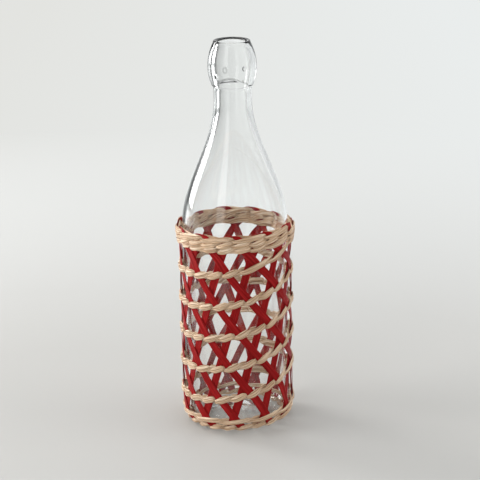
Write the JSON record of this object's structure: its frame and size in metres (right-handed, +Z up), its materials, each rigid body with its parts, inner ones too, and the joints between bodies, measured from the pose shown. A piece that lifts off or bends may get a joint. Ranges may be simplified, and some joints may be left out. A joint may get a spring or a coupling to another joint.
{
  "type": "straw-wrapped vase",
  "caption": "Clear glass bottle vase with a bulbous mouth, standing in an open twined sleeve of red straw strips and natural straw rows.",
  "frame": {"origin": "on the floor, under the middle of the bottle's base", "axes": "+Z up the bottle's axis to its mouth, -Y to the front that the picture shows, +X to its right"},
  "size_m": [0.0944, 0.0944, 0.31],
  "materials": {
    "clear_glass": "clear blown glass",
    "red_straw": "dyed flat straw, low sheen",
    "natural_straw": "natural straw, low sheen"
  },
  "bodies": {
    "root": {"glass_bottle": "clear_glass", "red_strip_01": "red_straw", "red_strip_02": "red_straw", "red_strip_03": "red_straw", "red_strip_04": "red_straw", "red_strip_05": "red_straw", "red_strip_06": "red_straw", "red_strip_07": "red_straw", "red_strip_08": "red_straw", "red_strip_09": "red_straw", "red_strip_10": "red_straw", "red_strip_11": "red_straw", "rim_weft_a": "natural_straw", "rim_weft_b": "natural_straw", "ring_1_weft_a": "natural_straw", "ring_1_weft_b": "natural_straw", "ring_2_weft_a": "natural_straw", "ring_2_weft_b": "natural_straw", "ring_3_weft_a": "natural_straw", "ring_3_weft_b": "natural_straw", "ring_4_weft_a": "natural_straw", "ring_4_weft_b": "natural_straw", "ring_5_weft_a": "natural_straw", "ring_5_weft_b": "natural_straw", "foot_weft_a": "natural_straw", "foot_weft_b": "natural_straw"}
  },
  "joints": []
}
